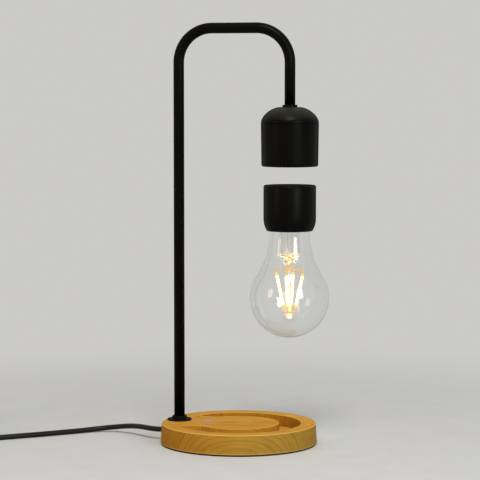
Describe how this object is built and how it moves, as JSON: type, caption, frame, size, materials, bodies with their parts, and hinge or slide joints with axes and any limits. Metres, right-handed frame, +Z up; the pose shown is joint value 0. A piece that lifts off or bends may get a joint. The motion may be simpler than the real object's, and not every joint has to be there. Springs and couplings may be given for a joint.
{
  "type": "levitating table lamp",
  "caption": "Table lamp with a round wooden base, an arched black tube and a magnetic head that holds a glowing filament bulb floating below it.",
  "frame": {"origin": "centre of the base's round underside, on the table", "axes": "+Z up; +X from the post at the back of the base towards the bulb; -Y is the side that the picture shows"},
  "size_m": [0.4125, 0.1646, 0.394],
  "materials": {
    "beech": "oiled pale wood, satin",
    "pad_rubber": "black rubber, matte",
    "cord_rubber": "black soft plastic, slightly glossy",
    "black_coat": "black powder coat, satin",
    "black_shell": "black moulded shell, satin",
    "adapter_shell": "black fine-grained shell",
    "zinc_steel": "zinc plated",
    "pin_nickel": "nickel plated",
    "magnet_nickel": "nickel plated magnet",
    "core_iron": "soft iron, machined",
    "brass": "turned brass",
    "copper_wire": "enamelled copper winding",
    "ferrite": "dark ferrite, matte",
    "board_green": "circuit board, green mask",
    "component_black": "moulded components",
    "nylon_white": "natural nylon",
    "wire_red": "insulated wire bundle",
    "indicator": "violet-blue light",
    "cement": "lamp cement, matte",
    "bulb_glass": "clear blown glass",
    "stem_glass": "clear drawn glass",
    "filament_glow": "lit phosphor stick, warm white",
    "filament_cap": "yellow phosphor end",
    "support_wire": "bright wire"
  },
  "bodies": {
    "stand": {"anti_slip_pad": "pad_rubber", "base_plate": "zinc_steel", "plate_screws": "zinc_steel", "wood_base": "beech", "control_board": "board_green", "board_parts": "component_black", "board_spacers": "brass", "board_screws": "zinc_steel", "touch_board": "board_green", "indicator_led": "indicator", "light_guide": "indicator", "cord_grommet": "cord_rubber", "cord_tail": "cord_rubber", "cord_clamp": "nylon_white", "clamp_screw": "zinc_steel", "base_flange": "black_coat", "arm_washer": "zinc_steel", "arm_nut": "brass", "arm_stud": "brass", "arm_tube": "black_coat", "arm_wires": "wire_red", "head_collar": "black_coat", "head_dome": "black_shell", "head_nut": "brass", "head_shell": "black_shell", "transmit_coil": "copper_wire", "ferrite_sheet": "ferrite", "hall_board": "board_green", "coil_bobbin": "nylon_white", "lift_coil": "copper_wire", "coil_core": "core_iron", "bias_magnet": "magnet_nickel", "head_spacer": "nylon_white", "head_board": "board_green", "head_board_parts": "component_black", "cord": "cord_rubber", "cord_coil": "cord_rubber", "adapter_boot": "cord_rubber", "adapter_body": "adapter_shell", "adapter_pins": "pin_nickel"},
    "magnet": {"float_magnet": "magnet_nickel"},
    "bulb": {"holder_cap": "black_shell", "receive_coil": "copper_wire", "receive_ferrite": "ferrite", "magnet_carrier": "nylon_white", "driver_board": "board_green", "driver_parts": "component_black", "holder_shell": "black_shell", "neck_cement": "cement", "bulb_glass": "bulb_glass", "bulb_stem": "stem_glass", "lead_wires": "support_wire", "upper_spider": "support_wire", "led_filaments": "filament_glow", "filament_ends": "filament_cap", "lower_spider": "support_wire"}
  },
  "joints": [
    {"name": "bulb_lift", "type": "slide", "parent": "stand", "child": "magnet", "axis": [0, 0, 1], "range_m": [-0.0816, 0.0168], "stiffness_N_per_m": 120, "springref_m": 0.011},
    {"name": "bulb_spin", "type": "hinge", "parent": "magnet", "child": "bulb", "pos_m": [0.049, 0, 0.2], "axis": [0, 0, 1], "continuous": true}
  ]
}
